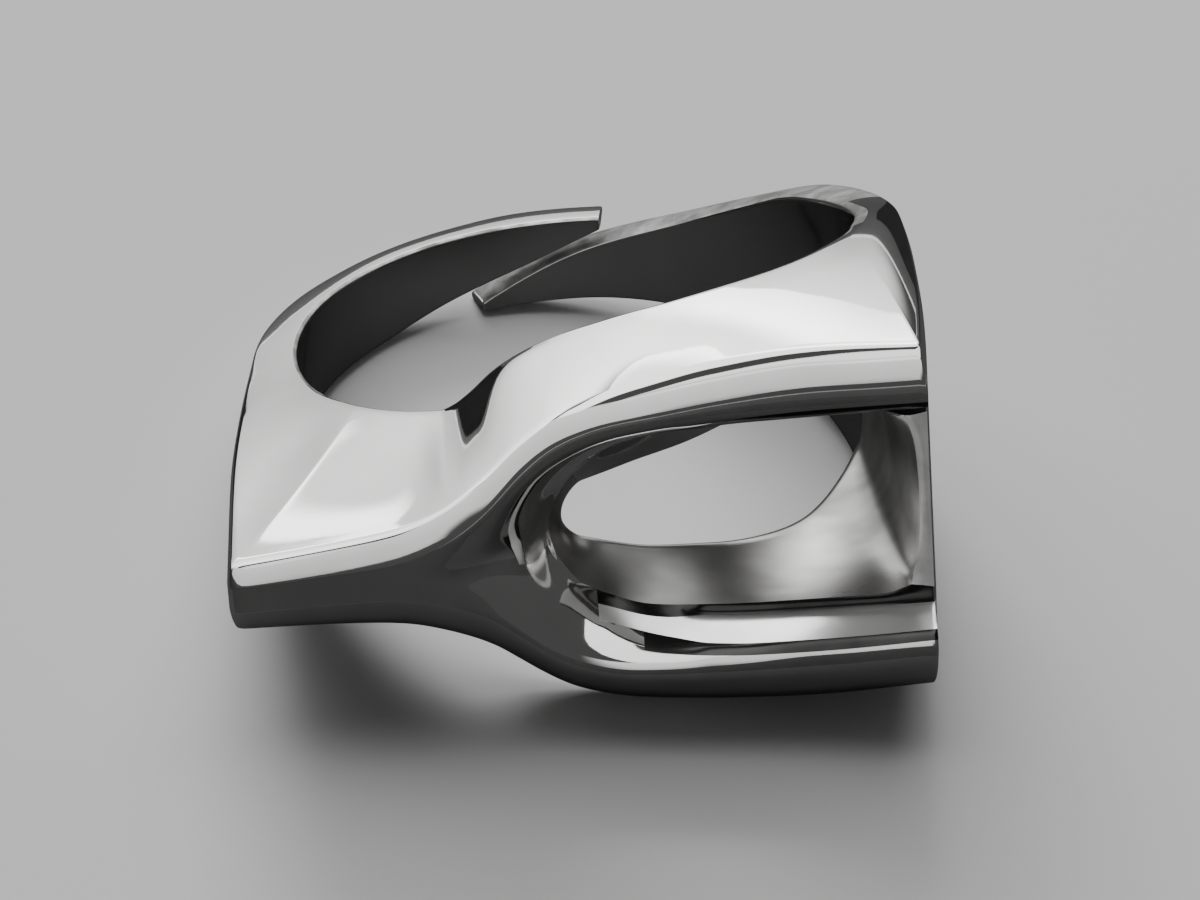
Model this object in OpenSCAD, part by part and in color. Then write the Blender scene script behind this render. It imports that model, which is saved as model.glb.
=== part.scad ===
// Adjustable band ring of cast silver: a trunk at the left that forks into two bars
// round a scooped window, with a thin shank that is cut open slantwise at the back.
// Millimetres. The ring rests on its lower bar and on the back of its shank.

/* [Finger hole] */
// Radius of the finger hole
hole_r = 9; // [8:0.05:9.4]
// Facets of the finger hole
hole_facets = 120; // [48:12:180]

/* [Shank] */
// Half the width of the shank at the back
shank_half = 1.45; // [1.3:0.05:1.8]
// Radius of the outside of the shank at the back
shank_r = 10.25; // [10:0.05:10.6]
// Angle round the hole where the left end of the shank stops
left_tip = -186; // [-190:1:-184]
// Angle round the hole where the right end of the shank stops
right_tip = 200; // [199:1:204]

/* [Front] */
// Angle of the left front corner
left_corner = -39; // [-41:0.5:-38]
// Angle of the right front corner
right_corner = 43; // [42:0.5:45]
// How far the side faces stand out from their edges
side_bulge = 0.18; // [0:0.02:0.4]

/* [Window] */
// Where the straight part of the window starts, from the middle
window_left = -0.4; // [-0.6:0.05:-0.2]
// How far the round left end of the window reaches past that
window_round = 0.94; // [0.4:0.02:1.1]
// How far the right end of the window bows out
window_bow = 0.2; // [0:0.02:0.3]
// How hollow the scoop is
scoop_depth = 0.25; // [0:0.05:0.4]
// Distance forward of the wall that the scoop is cut in
scoop_wall = 10; // [9.8:0.05:10.4]

/* [Rest] */
// How far the ring leans back as it rests
lean = 12.98; // [0:0.01:30]
// How far its right side is up as it rests
roll = 9.31; // [-10:0.01:12]
// Hole's centre, right of the middle of the ring's box
rest_x = -0.17; // [-2:0.01:2]
// Hole's centre, behind the middle of the ring's box
rest_y = 1.75; // [-2:0.01:4]
// Hole's centre, above the floor
rest_z = 4.01; // [3:0.01:9]

/* [Hidden] */
silver = [0.78, 0.78, 0.79];
inner_r = hole_r - 0.45;
edge_z = shank_half - 0.1;

// Front edge: angle, forward, height, bulge of the face, height of the rounding
FRONT = [[-39, 13.43, 1.1, 0.3, 0.8], [-31.4, 13.1, 1.3, 0.32, 0.85], [-24.4, 12.87, 1.56, 0.34, 0.9],
         [-19.1, 12.63, 2.08, 0.36, 0.95], [-14.4, 12.27, 2.82, 0.4, 1], [-9.8, 12, 3.75, 0.45, 1.05],
         [-3.5, 11.87, 4.66, 0.5, 1.1], [2.8, 11.77, 5.1, 0.55, 1.15], [9.3, 11.62, 5.38, 0.6, 1.2],
         [18.8, 11.33, 5.72, 0.68, 1.2], [32.7, 11.08, 5.96, 0.7, 1.2], [43, 11.05, 5.84, 0.6, 1.2]];
// Left side edge: angle, distance out, height
LEFT = [[-90, 10.42, 1.35], [-70, 10.72, 1.42], [-55, 10.9, 1.32], [-39, 10.88, 1.1]];
// Right side edge: angle, distance out, height
RIGHT = [[43, 10.3, 5.84], [50, 10.45, 5.8], [60, 10.55, 5.6], [75, 10.56, 5.25], [90, 10.48, 4.9]];
// Back of the shank: angle, outer radius, upper edge, lower edge
BACK = [[-186, shank_r, edge_z, 1.12], [-171, shank_r, edge_z, 0.1],
        [-155, shank_r - 0.2, edge_z, -0.6], [-131, shank_r - 0.28, edge_z, -1.3],
        [-115, shank_r - 0.1, edge_z, -1.35], [-90, 10.42, edge_z, -1.35],
        [90, 10.48, 4.9, -4.9], [100, 10.42, 4.65, -4.65], [123, 10.12, 3.75, -3.7],
        [143, shank_r - 0.2, 2.35, -2.3], [158, shank_r - 0.2, 1.37, -1.6],
        [180, shank_r - 0.2, 0.25, -1.4], [200, shank_r - 0.2, -1.12, -1.4]];
// Where a section meets the hole: its angle, angle round the hole
TURN = [[-90, -90], [-60, -65], [-39, -50], [-24.4, -35], [-18.2, -27.4], [-14.4, -20.5],
        [-9.8, -13.4], [-3.5, -4.6], [2.8, 3.7], [9.3, 12.2], [18.8, 25], [26.4, 36],
        [32.7, 46.5], [38, 56], [43, 66], [60, 75], [75, 83], [90, 90]];
// Rim of the hole: angle round it, height, bevel out, bevel up
RIM = [[-104, 1.54, 0.12, 0.05], [-90, 1.6, 0.12, 0.06], [-74, 1.78, 0.12, 0.07],
       [-50, 2.4, 0.12, 0.07], [-30, 3.06, 0.12, 0.07], [-27.4, 3.2, 0.12, 0.05],
       [-22, 3.9, 0.12, 0.04], [-17.7, 4.62, 0.12, 0.04], [-13.5, 5.15, 0.12, 0.04],
       [-6.8, 5.74, 0.12, 0.05], [0, 6.13, 0.14, 0.05], [13, 6.53, 0.16, 0.06],
       [27, 6.66, 0.2, 0.1], [54, 6.36, 0.34, 0.2], [80, 5.58, 0.45, 0.22],
       [90, 5.15, 0.42, 0.18], [98, 4.75, 0.3, 0.12], [127, 3.45, 0.08, 0.03]];
// Top face from rim to edge: section angle, share of the way to the crest, lift of the crest, dish
TOP = [[-186, 0.3, 0, 0.04], [-80, 0.3, 0, 0.03], [-60, 0.3, 0, -0.06], [-45, 0.3, 0, -0.26],
       [-30, 0.3, 0, -0.3], [-22, 0.35, 0, -0.22], [-18.85, 0.45, 0.1, -0.12],
       [-18.2, 0.48, -0.03, -0.05], [-14.4, 0.33, 0.07, 0], [-12.2, 0.22, 0.24, 0],
       [-9.3, 0.12, 0.2, 0.05], [-5.1, 0.1, 0.08, 0.08], [0, 0.2, 0, 0.12], [26, 0.3, 0, 0.16],
       [50, 0.3, 0, 0.28], [75, 0.3, 0, 0.22], [110, 0.3, 0, 0.04], [200, 0.3, 0, 0.03]];
// Inner lip of a bar: across, lip height and forward, ledge height, scoop edge height
LIP = [[-0.4, 2.2, 10.7, 2.05, 1.92], [0.8, 2.98, 11.16, 2.92, 2.68], [1.7, 3.35, 11.39, 3.3, 2.98],
       [3.1, 3.69, 11.49, 3.6, 3.15], [5, 3.85, 11.5, 3.75, 3.22], [9, 3.88, 11.4, 3.78, 3.22],
       [10.6, 3.85, 11.3, 3.75, 3]];
// Roll of the front face into the window's round end: across, depth
VALLEY = [[-5, 0], [-4.2, 0.05], [-3.4, 0.18], [-2.8, 0.38], [-2.2, 0.72], [-1.7, 1.15],
          [-1.34, 1.6], [-0.4, 2.5]];
// Scoop where it meets the hole: across, angle round the hole, height
INNER = [[-0.4, -3, 0.85], [0.8, 5, 1.2], [1.7, 10, 1.42], [3.1, 20, 1.7], [5, 33, 2.12],
         [7, 48, 2.37], [9, 66, 1.85], [10.05, 78, 1.6]];

WIN_FROM = -1.93;
WIN_TO = right_corner - 0.85;
// Angles of the sections
ANGLES = concat([left_tip, left_tip + 1.5], [for (a = [-181:4.5:-91]) a], [for (a = [-87:5:-47]) a],
                [-43.5, left_corner - 2, left_corner - 0.8, left_corner, left_corner + 1],
                [for (a = [-36:2:-22]) a], [-20.3, -19.3, -18.85, -18.2],
                [for (a = [-17:1.25:-3.2]) a], [WIN_FROM], [for (a = [0.4:2.2:40]) a],
                [WIN_TO, right_corner, right_corner + 0.7], [for (a = [46:4:90]) a],
                [for (a = [95:5:190]) a], [194, 198, right_tip]);
LAST = len(ANGLES) - 1;
HALF = 15;
ROWS = 2 * HALF;
EDGE = 12;
HOLE_ROWS = 12;
HOLE_EDGE = 3;

function clamp(v, lo = 0, hi = 1) = max(lo, min(hi, v));
function ease(v) = let (c = clamp(v)) c * c * (3 - 2 * c);
function mix(a, b, f) = a + (b - a) * f;
function seg(t, x, i = 0) = (i >= len(t) - 2 || x < t[i + 1][0]) ? i : seg(t, x, i + 1);
function rise(t, k, i) = (t[i + 1][k] - t[i][k]) / (t[i + 1][0] - t[i][0]);
function slope(t, k, i) = i <= 0 ? rise(t, k, 0) : i >= len(t) - 1 ? rise(t, k, len(t) - 2)
    : let (a = rise(t, k, i - 1), b = rise(t, k, i)) a * b <= 0 ? 0 : 2 * a * b / (a + b);
// Smooth value of column k of a table at x
function at(t, k, x) = let (i = seg(t, x), h = t[i + 1][0] - t[i][0],
    u = clamp((x - t[i][0]) / h), u2 = u * u, u3 = u2 * u)
    (2 * u3 - 3 * u2 + 1) * t[i][k] + (u3 - 2 * u2 + u) * h * slope(t, k, i)
    + (3 * u2 - 2 * u3) * t[i + 1][k] + (u3 - u2) * h * slope(t, k, i + 1);

function is_front(a) = a >= left_corner && a <= right_corner;
function is_left(a) = a > -90 && a < left_corner;
function is_right(a) = a > right_corner && a < 90;
// Outer edge of a section in plan: across, forward
function plan(a) = is_front(a) ? [at(FRONT, 1, a) * tan(a), at(FRONT, 1, a)]
    : is_left(a) ? [-at(LEFT, 1, a), -at(LEFT, 1, a) / tan(a)]
    : is_right(a) ? [at(RIGHT, 1, a), at(RIGHT, 1, a) / tan(a)]
    : [at(BACK, 1, a) * sin(a), at(BACK, 1, a) * cos(a)];
function edge_top(a) = is_front(a) ? at(FRONT, 2, a) : is_left(a) ? at(LEFT, 2, a)
    : is_right(a) ? at(RIGHT, 2, a) : at(BACK, 2, a);
function edge_low(a) = is_front(a) || is_left(a) || is_right(a) ? -edge_top(a) : at(BACK, 3, a);
// Rim of the hole: on the shank it stands a little higher than the edge
function rim_top(t) = t < -104 ? edge_top(t) + 0.08 + 0.11 * ease((t + 140) / 36)
    : t > 127 ? edge_top(t) - 0.03 : at(RIM, 1, t);
function rim_low(t) = t < -104 ? edge_low(t) - 0.05 - 0.14 * ease((t + 131) / 27)
    : t > 127 ? edge_low(t) : -at(RIM, 1, t);
// Way outwards of a section's outer face, and how tall its rounding is
function out_dir(a) = [a <= left_corner && a > -90 ? -side_bulge
    : a >= right_corner && a < 90 ? side_bulge : abs(a) >= 90 ? side_bulge * 0.7 * sin(a) : 0,
    is_front(a) ? at(FRONT, 3, a) : abs(a) >= 90 ? side_bulge * 0.7 * cos(a) : 0];
function round_h(a) = is_front(a) ? at(FRONT, 4, a) : is_right(a) ? mix(1.2, 0.9, (a - 43) / 47)
    : 0.8;
function turn(a) = abs(a) < 90 ? at(TURN, 1, a) : a;

// How much of the window's own row heights holds in a section
function win(a, x) = is_front(a) ? ease((x + 4) / (4 + window_left))
    : is_right(a) ? 1 - ease((a - right_corner) / 30) : 0;
FREE = [0.85, 0.71, 0.57, 0.43, 0.29, 0.14, 0];
OPEN = [0.78, 0.6, 0.56, 0.52, 0.35, 0.17, 0];
NEAR = [0.14, 0.66, 0.84, 0.956, 1, 1, 1];
// Share of the height of row 8 at which row j (9 to 15) lies
function share(a, x, h8, j) = mix(FREE[j - 9], x < window_left ? OPEN[j - 9]
    : j == 9 ? mix(at(LIP, 1, x) / h8, 1, 0.45)
    : j <= 12 ? at(LIP, j == 10 ? 1 : j == 11 ? 3 : 4, x) / h8
    : at(LIP, 4, x) / h8 * (15 - j) / 3, win(a, x));
// How far row j stands back from the front face
function back_by(a, x, j, f) = !is_front(a) ? 0
    : x < window_left ? at(VALLEY, 1, x) * mix(1 - ease(f), NEAR[j - 9], win(a, x))
    : let (lip = plan(a)[1] + out_dir(a)[1] - at(LIP, 2, x),
           wall = plan(a)[1] + out_dir(a)[1] - scoop_wall)
      j == 9 ? 0.22 * lip : j == 10 ? lip : mix(lip + 0.3, wall, ease((x + 0.8) / 1.5));
// Bow of the window's round left end and of its right end
function round_end(x, z, z9) = let (k = 1 - pow(z / z9, 2))
    x > window_left + 0.02 ? (x > 9.9 && x < 10.2 ? window_bow * k : 0)
    : -window_round * k * exp((x - window_left) / 1.5);

function rim_pt(t, r, z) = [r * sin(t), r * cos(t), z];
// Upper or lower (s = 1 or -1) half of a section: row j from the rim to the middle
function half_pt(a, s, j) =
    let (t = turn(a), zr = s > 0 ? rim_top(t) : rim_low(t), out = at(RIM, 2, t),
         up = at(RIM, 3, t), zt = edge_top(a), zb = edge_low(a), mid = (zt + zb) / 2,
         h = (zt - zb) / 2, p = plan(a), o = out_dir(a), x = p[0],
         a1 = rim_pt(t, hole_r + out, zr + s * up), e1 = [p[0], p[1], s > 0 ? zt : zb],
         fc = at(TOP, 1, a), lift = at(TOP, 2, a), dish = at(TOP, 3, a),
         drop = min(up / out * (hole_r - inner_r), 0.25 * (rim_top(t) - rim_low(t))))
    j == 0 ? rim_pt(t, inner_r, zr - s * drop)
    : j == 1 ? a1
    : j < 6 ? let (f = [0.5 * fc, fc, mix(fc, 1, 0.35), mix(fc, 1, 0.7)][j - 2],
                   w = [0.5, 1, 0.5, 0.15][j - 2])
        mix(a1, e1, f) + [0, 0, s * (lift * w + dish * 4 * f * (1 - f))]
    : j == 6 ? e1
    : let (h7 = h - min(0.28 * round_h(a), 0.18 * h), h8 = h - min(round_h(a), 0.6 * h))
      j == 7 ? [p[0] + 0.6 * o[0], p[1] + 0.6 * o[1], mid + s * h7]
    : j == 8 ? [p[0] + o[0], p[1] + o[1], mid + s * h8]
    : let (f = share(a, x, h8, j), z = f * h8, z12 = share(a, x, h8, 12) * h8,
           dx = is_front(a) && j > 12 ? round_end(x, z, z12) : 0)
      [p[0] + o[0] + dx, a >= right_corner && a < 90 && j >= 11 ? min(scoop_wall, p[1] + o[1])
          : p[1] + o[1] - back_by(a, x, j, f), mid + s * z];
function outer_pt(a, j) = j <= HALF ? half_pt(a, 1, j) : half_pt(a, -1, ROWS - j);

// Where the hole's wall rows lie: the middle rows follow the scoop
function inner_angle(a, x, f) = let (w = max(0, window_left - x))
    is_front(a) ? (x < window_left + 0.05 ? turn(a) + (at(INNER, 1, window_left) - turn(WIN_FROM))
        * exp(-w / 2) - 3.2 * f * exp(-w / 1.5)
        : at(INNER, 1, x) + (x > 9.9 ? 4.5 * f : 0) + (a >= right_corner ? 1 : 0))
    : is_right(a) ? mix(84, 96, (a - right_corner) / 47)
    : a < 130 && a >= 90 ? mix(96, 130, (a - 90) / 40) : a;
function hole_pt(a, m) =
    let (zt = half_pt(a, 1, 0)[2], zb = half_pt(a, -1, 0)[2], mid = (zt + zb) / 2,
         h = (zt - zb) / 2, x = plan(a)[0], k = m <= 6 ? m : 12 - m, s = m <= 6 ? 1 : -1,
         w = is_front(a) ? ease((x + 5) / (5 + window_left))
            : is_right(a) ? 1 - ease((a - 43) / 40) : 0,
         z3 = mix(0.5 * h, at(INNER, 2, x), w),
         z = k <= 3 ? mix(h, z3, k / 3) : z3 * (6 - k) / 3,
         f = k < 3 ? 0 : 1 - pow((6 - k) / 3, 2),
         t = mix(turn(a), inner_angle(a, x, f), clamp(k / 3)))
    rim_pt(t, inner_r, mid + s * z);

FIRST_WIN = [for (i = [0:LAST]) if (abs(ANGLES[i] - WIN_FROM) < 0.01) i][0];
LAST_WIN = [for (i = [0:LAST]) if (abs(ANGLES[i] - WIN_TO) < 0.01) i][0];

// The window's edge as a loop of section and row numbers
LOOP = concat([for (i = [FIRST_WIN:LAST_WIN]) [i, 0]], [for (k = [1:5]) [LAST_WIN, k]],
              [for (i = [LAST_WIN:-1:FIRST_WIN]) [i, 6]], [for (k = [5:-1:1]) [FIRST_WIN, k]]);
SCOOPS = 3;
function scoop_pt(n, t) =
    let (i = LOOP[n][0], k = LOOP[n][1], a = ANGLES[i],
         p = outer_pt(a, EDGE + k), q = hole_pt(a, HOLE_EDGE + k), f = t / (SCOOPS + 1),
         side = 1 - k / 3)
    mix(p, q, f) + [(i == LAST_WIN ? 0.1 : 0) * 4 * f * (1 - f), 0,
                    scoop_depth * side * 4 * f * (1 - f)];

PER = ROWS + 1;
IN = HOLE_ROWS - 1;
N = LAST + 1;
T0 = N * (PER + IN) + SCOOPS * len(LOOP);
function o_id(i, j) = i * PER + j;
function h_id(i, m) = m == 0 ? o_id(i, 0) : m == HOLE_ROWS ? o_id(i, ROWS)
    : N * PER + i * IN + m - 1;
function s_id(n, t) = let (l = LOOP[n % len(LOOP)]) t == 0 ? o_id(l[0], EDGE + l[1])
    : t == SCOOPS + 1 ? h_id(l[0], HOLE_EDGE + l[1])
    : N * (PER + IN) + (t - 1) * len(LOOP) + n % len(LOOP);
function quad(a, b, c, d) = [[a, c, b], [a, d, c]];
function in_block(i, k) = i >= FIRST_WIN && i < LAST_WIN && k >= 0 && k < 6;

module shell() {
    pts = concat([for (a = ANGLES) for (j = [0:ROWS]) outer_pt(a, j)],
                 [for (a = ANGLES) for (m = [1:HOLE_ROWS - 1]) hole_pt(a, m)],
                 [for (t = [1:SCOOPS]) for (n = [0:len(LOOP) - 1]) scoop_pt(n, t)],
                 [for (a = [left_tip, right_tip]) (outer_pt(a, HALF) + hole_pt(a, 6)) / 2]);
    outer = [for (i = [0:LAST - 1]) for (j = [0:ROWS - 1]) if (!in_block(i, j - EDGE))
        each quad(o_id(i, j), o_id(i, j + 1), o_id(i + 1, j + 1), o_id(i + 1, j))];
    inner = [for (i = [0:LAST - 1]) for (m = [0:HOLE_ROWS - 1]) if (!in_block(i, m - HOLE_EDGE))
        each quad(h_id(i, m), h_id(i + 1, m), h_id(i + 1, m + 1), h_id(i, m + 1))];
    scoop = [for (n = [0:len(LOOP) - 1]) for (t = [0:SCOOPS])
        each quad(s_id(n, t), s_id(n, t + 1), s_id(n + 1, t + 1), s_id(n + 1, t))];
    rims = [concat([for (j = [0:ROWS]) o_id(0, j)], [for (m = [HOLE_ROWS - 1:-1:1]) h_id(0, m)]),
            concat([for (j = [ROWS:-1:0]) o_id(LAST, j)],
                   [for (m = [1:HOLE_ROWS - 1]) h_id(LAST, m)])];
    tip = [for (e = [0, 1]) for (n = [0:PER + IN - 1])
           [rims[e][n], rims[e][(n + 1) % (PER + IN)], T0 + e]];
    polyhedron([for (p = pts) [p[0], -p[1], p[2]]], concat(outer, inner, scoop, tip),
               convexity = 8);
}

module ring_band() {
    color(silver) translate([rest_x, rest_y, rest_z]) rotate([-lean, 0, 0]) rotate([0, -roll, 0])
        difference() {
            shell();
            cylinder(h = 40, r = hole_r, center = true, $fn = hole_facets);
        }
}

ring_band();
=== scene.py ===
"""Looks of an adjustable silver ring: a polished casting whose front forks round a window."""

from __future__ import annotations

import logging
import math
from dataclasses import dataclass, field
from enum import Enum
from functools import partial
from typing import Callable

import bmesh
import bpy
from mathutils import Matrix, Vector

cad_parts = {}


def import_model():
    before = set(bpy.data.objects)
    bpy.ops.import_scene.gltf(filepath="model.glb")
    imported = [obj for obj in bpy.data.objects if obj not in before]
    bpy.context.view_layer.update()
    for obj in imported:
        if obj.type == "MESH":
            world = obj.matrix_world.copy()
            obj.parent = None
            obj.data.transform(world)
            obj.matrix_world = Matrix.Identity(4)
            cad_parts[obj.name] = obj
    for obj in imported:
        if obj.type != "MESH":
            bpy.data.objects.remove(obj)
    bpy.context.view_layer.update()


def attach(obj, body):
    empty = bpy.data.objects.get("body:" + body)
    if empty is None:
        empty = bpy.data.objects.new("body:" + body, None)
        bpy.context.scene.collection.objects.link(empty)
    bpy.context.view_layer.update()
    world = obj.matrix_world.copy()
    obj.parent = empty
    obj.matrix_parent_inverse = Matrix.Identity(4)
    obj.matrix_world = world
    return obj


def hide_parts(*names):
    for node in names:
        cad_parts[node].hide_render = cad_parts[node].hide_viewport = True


Row = tuple[float, ...]
Point = tuple[float, float, float]
MM = 0.001
STEP_CODE = 100000
SECTION_CODE = 100
TONE_SPAN = (0.32, 0.68)
POLISH_SPAN = (0.3, 0.75)
GRAIN_DEPTH = 0.02
PIT_DEPTH = 0.05
PIT_SCALE = 0.45
LOG = logging.getLogger("ring")


class Surface(Enum):
    """Which finish, or which painted light, a face of the casting has."""

    POLISHED = 0
    CUT = 1
    # Painted shade: a darker tone on the hole's wall and on the upper scoop wall.
    BORE = 2
    # Real satin grain, with painted shade in its darker tone.
    SATIN = 3
    # Real wear with a painted sheen: its part non-metal brightness stays in any light.
    WORN = 4
    # A painted dark reflection on the bands beside the ledge.
    RECESS = 5
    # A painted highlight on the window's ledge.
    LEDGE = 6


@dataclass(frozen=True)
class Silver:
    """One finish of cast silver: its tone, its polish and its surface relief.

    Some tones are painted light: the bore and the satin scoop carry painted shade, the dark bands
    beside the ledge a painted dark reflection, the ledge a painted highlight, and the worn strip,
    whose grain is real wear, a painted sheen. These tones are fixed, so they keep them in any
    light.
    """

    name: str
    tint: tuple[float, float, float]
    roughness: float
    spread: float
    grain: float
    relief: float
    pits: float
    shade: float = 0.86
    patch: float = 0.08
    stretch: tuple[float, float, float] = (1.0, 1.0, 1.0)
    metal: float = 1.0

    def material(self) -> bpy.types.Material:
        """Makes the finish's node material.

        Returns:
            The material, with its pattern on Object coordinates.
        """
        mat = bpy.data.materials.new(self.name)
        mat.use_nodes = True
        tree = mat.node_tree
        shader = tree.nodes["Principled BSDF"]
        shader.inputs["Metallic"].default_value = self.metal
        where = tree.nodes.new("ShaderNodeTexCoord")
        fine = self._noise(tree, where, self.grain, 6.0)
        broad = self._noise(tree, where, self.grain * self.patch, 3.0)
        tone = tree.nodes.new("ShaderNodeMix")
        tone.data_type = "RGBA"
        tone.inputs["A"].default_value = (*self.tint, 1.0)
        tone.inputs["B"].default_value = (*[c * self.shade for c in self.tint], 1.0)
        spread = tree.nodes.new("ShaderNodeMapRange")
        spread.interpolation_type = "SMOOTHSTEP"
        spread.inputs["From Min"].default_value = TONE_SPAN[0]
        spread.inputs["From Max"].default_value = TONE_SPAN[1]
        tree.links.new(broad.outputs["Fac"], spread.inputs["Value"])
        tree.links.new(spread.outputs["Result"], tone.inputs["Factor"])
        tree.links.new(tone.outputs["Result"], shader.inputs["Base Color"])
        rough = tree.nodes.new("ShaderNodeMapRange")
        rough.inputs["From Min"].default_value = POLISH_SPAN[0]
        rough.inputs["From Max"].default_value = POLISH_SPAN[1]
        rough.inputs["To Min"].default_value = self.roughness
        rough.inputs["To Max"].default_value = self.roughness + self.spread
        tree.links.new(broad.outputs["Fac"], rough.inputs["Value"])
        tree.links.new(rough.outputs["Result"], shader.inputs["Roughness"])
        bump = tree.nodes.new("ShaderNodeBump")
        bump.inputs["Strength"].default_value = self.relief
        bump.inputs["Distance"].default_value = GRAIN_DEPTH * MM
        tree.links.new(fine.outputs["Fac"], bump.inputs["Height"])
        if self.pits > 0:
            self._pits(tree, where, bump)
        tree.links.new(bump.outputs["Normal"], shader.inputs["Normal"])
        return mat

    def _noise(self, tree: bpy.types.NodeTree, where: bpy.types.Node, scale: float,
               detail: float) -> bpy.types.Node:
        """Adds a noise of so many waves to the metre.

        Args:
            tree: The material's node tree.
            where: The coordinates' node.
            scale: Waves to the metre.
            detail: Octaves of the noise.

        Returns:
            The noise's node.
        """
        noise = tree.nodes.new("ShaderNodeTexNoise")
        noise.inputs["Scale"].default_value = scale
        noise.inputs["Detail"].default_value = detail
        drawn = tree.nodes.new("ShaderNodeVectorMath")
        drawn.operation = "MULTIPLY"
        drawn.inputs[1].default_value = self.stretch
        tree.links.new(where.outputs["Object"], drawn.inputs[0])
        tree.links.new(drawn.outputs["Vector"], noise.inputs["Vector"])
        return noise

    def _pits(self, tree: bpy.types.NodeTree, where: bpy.types.Node,
              bump: bpy.types.Node) -> None:
        """Adds the small pits of rough cast metal under the grain.

        Args:
            tree: The material's node tree.
            where: The coordinates' node.
            bump: The grain's bump node, which the pits lie under.
        """
        cells = tree.nodes.new("ShaderNodeTexVoronoi")
        cells.inputs["Scale"].default_value = self.grain * PIT_SCALE
        tree.links.new(where.outputs["Object"], cells.inputs["Vector"])
        coarse = tree.nodes.new("ShaderNodeBump")
        coarse.inputs["Strength"].default_value = self.pits
        coarse.inputs["Distance"].default_value = PIT_DEPTH * MM
        tree.links.new(cells.outputs["Distance"], coarse.inputs["Height"])
        tree.links.new(coarse.outputs["Normal"], bump.inputs["Normal"])


POLISHED = Silver("polished_silver", (0.93, 0.925, 0.915), 0.035, 0.03, 2600.0, 0.03, 0.0)
CUT = Silver("cut_silver", (0.5, 0.495, 0.49), 0.4, 0.2, 3600.0, 0.9, 0.8, 0.45, 0.3)
# The bore's darker grey tone is painted shade; its roughness and grain are the real finish.
BORE = Silver("bore_silver_painted_shade", (0.6, 0.595, 0.59), 0.1, 0.06, 1800.0, 0.1, 0.0)
# Satin roughness and drawn grain are the real finish; the darker tone is painted shade.
SATIN = Silver("satin_silver_painted_shade", (0.5, 0.495, 0.488), 0.26, 0.12, 1200.0, 0.3, 0.0, 0.4, 0.3,
               (0.45, 1.0, 0.8))
# The worn strip's rough pitted grain is real wear; its part non-metal brightness is a painted
# sheen.
WORN = Silver("worn_silver_and_painted_sheen", (0.95, 0.945, 0.935), 0.3, 0.15, 3000.0, 0.5, 0.3, 0.75, 0.3,
              metal=0.3)
# The ledge's half non-metal near-white tone is a painted highlight.
LEDGE = Silver("ledge_silver_painted_highlight", (0.98, 0.977, 0.97), 0.16, 0.1, 2000.0, 0.1, 0.0, 0.95, 0.2,
               metal=0.5)
# Near-black tone for the bands beside the ledge: a painted dark reflection.
RECESS = Silver("painted_dark_reflection_silver", (0.08, 0.079, 0.078), 0.12, 0.15, 1500.0, 0.2, 0.0, 0.5, 0.2)


def clamp(value: float, low: float = 0.0, high: float = 1.0) -> float:
    """Keeps a value between two others."""
    return max(low, min(high, value))


def ease(value: float) -> float:
    """A smooth step from 0 to 1."""
    v = clamp(value)
    return v * v * (3 - 2 * v)


def mix(a: float, b: float, share: float) -> float:
    """A value part of the way from a to b."""
    return a + (b - a) * share


def grey(tone: float) -> tuple[float, float, float, float]:
    """An opaque grey."""
    return tone, tone, tone, 1.0


def direction(azimuth: float, elevation: float) -> Vector:
    """The way from the ring to a lamp.

    Args:
        azimuth: Degrees from straight behind the ring towards its right.
        elevation: Degrees up from the floor.

    Returns:
        A vector one long.
    """
    turn, rise = math.radians(azimuth), math.radians(elevation)
    return Vector((math.sin(turn) * math.cos(rise), math.cos(turn) * math.cos(rise),
                   math.sin(rise)))


def spot_code(step: int, section: int, row: int) -> int:
    """One number for a vertex's step on the scoop, its section and its row."""
    return STEP_CODE * step + SECTION_CODE * section + row


def spot(code: int) -> tuple[int, int, int]:
    """The step, section and row that a vertex's number stands for."""
    return (code // STEP_CODE, code // SECTION_CODE % (STEP_CODE // SECTION_CODE),
            code % SECTION_CODE)


@dataclass(frozen=True)
class Curve:
    """A table of sizes along the ring, read as a smooth curve."""

    rows: tuple[Row, ...]

    def _slope(self, column: int, i: int) -> float:
        """The curve's slope at a row.

        Args:
            column: The table's column.
            i: The row.

        Returns:
            A slope that makes no overshoot between rows.
        """
        rows = self.rows
        last = len(rows) - 1
        rises = [
            (rows[k + 1][column] - rows[k][column]) / (rows[k + 1][0] - rows[k][0])
            for k in (max(0, i - 1), min(last - 1, i))
        ]
        if rises[0] * rises[1] <= 0:
            return 0.0
        return 2 * rises[0] * rises[1] / (rises[0] + rises[1])

    def at(self, column: int, x: float) -> float:
        """Reads a column of the table between its rows.

        Args:
            column: The table's column, counted from 0 with the rows' own place.
            x: The place along the table.

        Returns:
            The column's value there.
        """
        rows = self.rows
        i = 0
        while i < len(rows) - 2 and x >= rows[i + 1][0]:
            i += 1
        span = rows[i + 1][0] - rows[i][0]
        u = clamp((x - rows[i][0]) / span)
        u2, u3 = u * u, u * u * u
        return (
            (2 * u3 - 3 * u2 + 1) * rows[i][column]
            + (u3 - 2 * u2 + u) * span * self._slope(column, i)
            + (3 * u2 - 2 * u3) * rows[i + 1][column]
            + (u3 - u2) * span * self._slope(column, i + 1)
        )


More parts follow.
